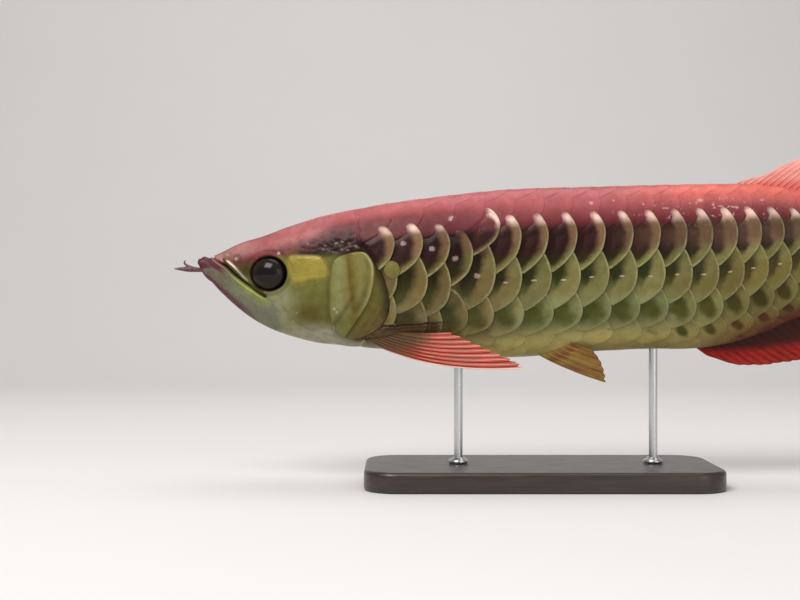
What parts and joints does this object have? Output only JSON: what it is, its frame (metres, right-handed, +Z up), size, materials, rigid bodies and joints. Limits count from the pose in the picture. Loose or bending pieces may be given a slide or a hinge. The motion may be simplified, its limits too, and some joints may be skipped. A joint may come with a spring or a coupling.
{
  "type": "asian arowana",
  "caption": "Still life-size model of an Asian arowana with large overlapping scales, chin barbels and red fins, swimming level above a flat base on rods.",
  "frame": {"origin": "centre of the underside of the display stand's base, on the surface it stands on", "axes": "+Z up; the fish lies along X with its head towards -X and its left side towards -Y"},
  "size_m": [0.5186, 0.092, 0.2033],
  "materials": {
    "head_skin": "wet skin, dusty red to olive",
    "jaw_skin": "wet skin, grey green with maroon lips",
    "gill_cover": "smooth bony plate, metallic olive yellow",
    "scales": "large glossy scales, red back, olive green flank, pale rims",
    "barbel": "soft dark maroon skin",
    "eye": "wet black eye with a thin iris",
    "red_fin": "red membrane over ribbed rays",
    "pelvic_fin": "brown orange membrane over ribbed rays",
    "stand_base": "dark stained wood, satin",
    "stand_rod": "brushed"
  },
  "bodies": {
    "root": {"head": "head_skin", "lower_jaw": "jaw_skin", "barbel_left": "barbel", "barbel_right": "barbel", "eye_left": "eye", "eye_right": "eye", "gill_cover_left": "gill_cover", "gill_cover_right": "gill_cover", "trunk_front": "scales", "trunk_middle": "scales", "tail_stalk": "scales", "pectoral_fin_left": "red_fin", "pectoral_fin_right": "red_fin", "pelvic_fin_left": "pelvic_fin", "pelvic_fin_right": "pelvic_fin", "dorsal_fin": "red_fin", "anal_fin": "red_fin", "tail_fin": "red_fin", "stand_base": "stand_base", "stand_rod_front": "stand_rod", "stand_rod_rear": "stand_rod"}
  },
  "joints": []
}
